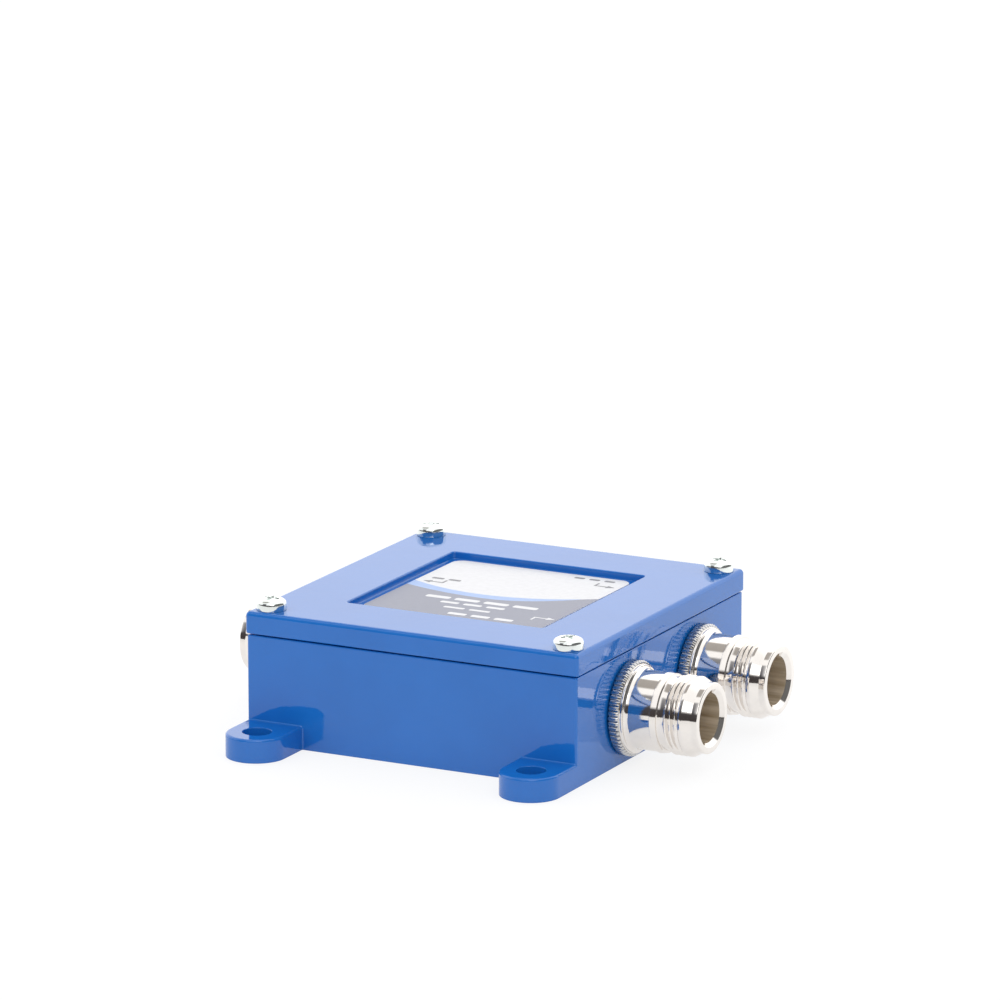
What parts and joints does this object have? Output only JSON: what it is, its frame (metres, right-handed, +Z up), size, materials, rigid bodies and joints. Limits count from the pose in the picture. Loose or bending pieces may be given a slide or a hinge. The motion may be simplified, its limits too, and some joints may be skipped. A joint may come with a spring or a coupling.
{
  "type": "coaxial tapper",
  "caption": "Screwed metal box with mounting ears that splits a coaxial signal, with a threaded input socket facing a pair of threaded output sockets.",
  "frame": {"origin": "centre of the outer box at its underside", "axes": "+X towards the two output sockets, +Y from the front face to the back face, +Z up through the lid"},
  "size_m": [0.1092, 0.1022, 0.0292],
  "materials": {
    "blue_paint": "glossy blue paint on cast aluminium",
    "label_film": "satin printed film in white, grey and blue",
    "zinc_plate": "bright zinc plate",
    "nickel_plate": "bright nickel plate on turned brass",
    "white_insulator": "natural white fluoropolymer",
    "gold_plate": "gold plate on a sprung contact",
    "board_laminate": "green glass-fibre laminate",
    "copper_strip": "bare copper strip",
    "resistor_ceramic": "dark glazed ceramic"
  },
  "bodies": {
    "root": {"enclosure_body": "blue_paint", "lid": "blue_paint", "label": "label_film", "lid_screw_front_left": "zinc_plate", "lid_screw_front_right": "zinc_plate", "lid_screw_back_left": "zinc_plate", "lid_screw_back_right": "zinc_plate", "board_screw_front_left": "zinc_plate", "board_screw_front_right": "zinc_plate", "board_screw_back_left": "zinc_plate", "board_screw_back_right": "zinc_plate", "connector_shell_input": "nickel_plate", "connector_shell_tap": "nickel_plate", "connector_shell_through": "nickel_plate", "connector_insulator_input": "white_insulator", "connector_insulator_tap": "white_insulator", "connector_insulator_through": "white_insulator", "centre_contact_input": "gold_plate", "centre_contact_tap": "gold_plate", "centre_contact_through": "gold_plate", "circuit_board": "board_laminate", "main_trace": "copper_strip", "tap_trace": "copper_strip", "chip_resistor_1": "resistor_ceramic", "chip_resistor_2": "resistor_ceramic", "chip_resistor_3": "resistor_ceramic"}
  },
  "joints": []
}
